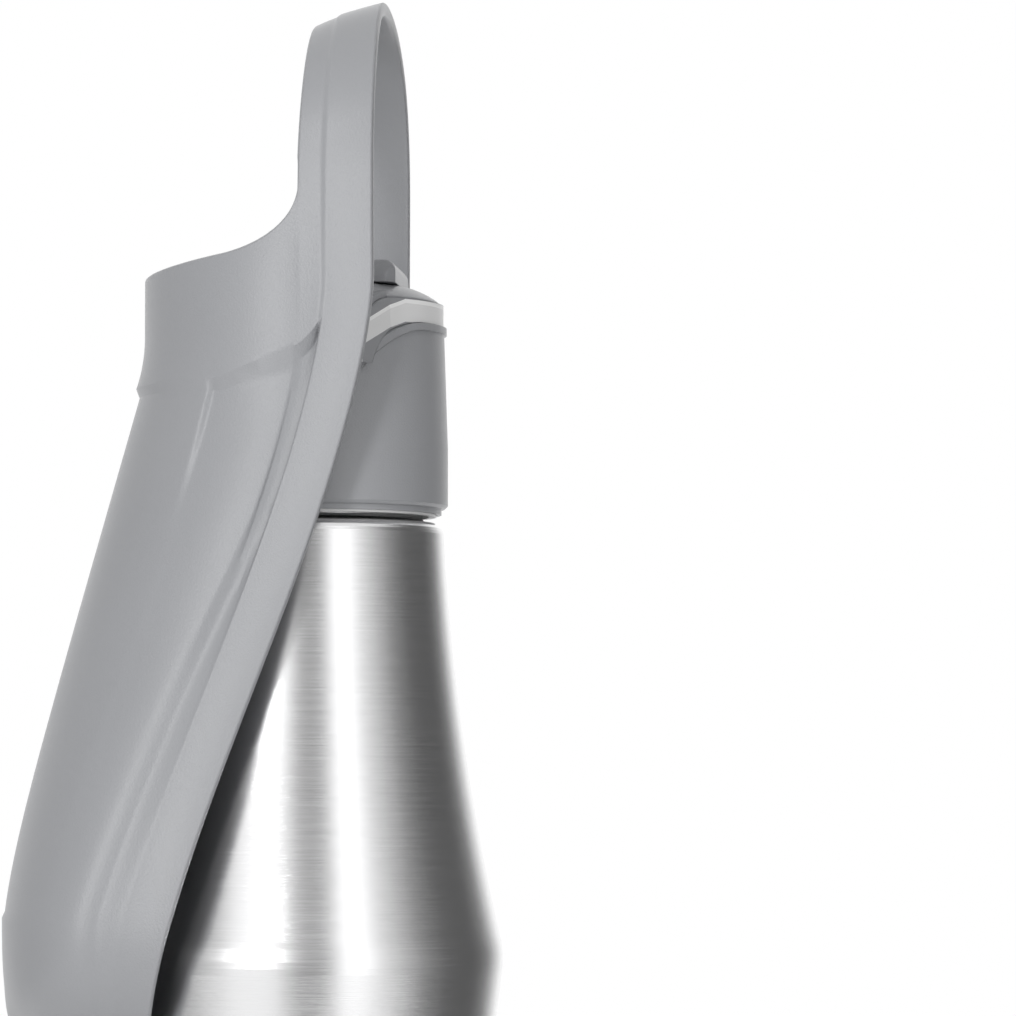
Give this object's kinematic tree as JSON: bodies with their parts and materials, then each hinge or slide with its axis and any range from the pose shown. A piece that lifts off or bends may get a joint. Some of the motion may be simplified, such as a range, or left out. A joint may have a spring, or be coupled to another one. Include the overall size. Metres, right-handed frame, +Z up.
{
  "type": "dog travel water bottle",
  "caption": "Steel travel water bottle for dogs with a screw-on slide-lock head and a leaf-shaped drinking trough with a carrying loop that folds over the bottle.",
  "frame": {"origin": "centre of the base, on the surface the bottle stands on", "axes": "+Z up along the bottle's axis, +Y towards the folded trough, +X to the right seen from behind the bottle"},
  "size_m": [0.0796, 0.0931, 0.2618],
  "materials": {
    "steel": "stainless steel, brushed round the bottle, satin",
    "pin_steel": "plain stainless pin",
    "grey_plastic": "mid grey moulded plastic, satin with a very fine grain",
    "white_plastic": "white moulded plastic, satin",
    "silicone": "translucent pale silicone, matte"
  },
  "bodies": {
    "bottle": {"steel_body": "steel", "base_plate": "steel"},
    "seal": {"neck_seal": "silicone"},
    "head": {"thread_sleeve": "white_plastic", "collar": "grey_plastic", "hinge_yoke": "white_plastic", "cap": "grey_plastic", "vent_valve": "silicone", "pivot_pin_left": "pin_steel", "pivot_pin_right": "pin_steel"},
    "slide_lock": {"lock_slider": "grey_plastic", "outlet_seal": "silicone"},
    "trough": {"trough": "grey_plastic"}
  },
  "joints": [
    {"name": "head_lift", "type": "slide", "parent": "bottle", "child": "seal", "axis": [0, 0, 1], "range_m": [0, 0.0061]},
    {"name": "head_screw", "type": "hinge", "parent": "seal", "child": "head", "pos_m": [0, 0, 0.185], "axis": [0, 0, 1], "range_deg": [0, 540]},
    {"name": "lock_slide", "type": "slide", "parent": "head", "child": "slide_lock", "axis": [0, 1, 0], "range_m": [0, 0.012]},
    {"name": "trough_fold", "type": "hinge", "parent": "head", "child": "trough", "pos_m": [0, -0.002, 0.195], "axis": [1, 0, 0], "range_deg": [0, 140]}
  ],
  "couplings": [
    {"joint": "head_lift", "follows": "head_screw", "m_per_rad": 0.00063662}
  ]
}
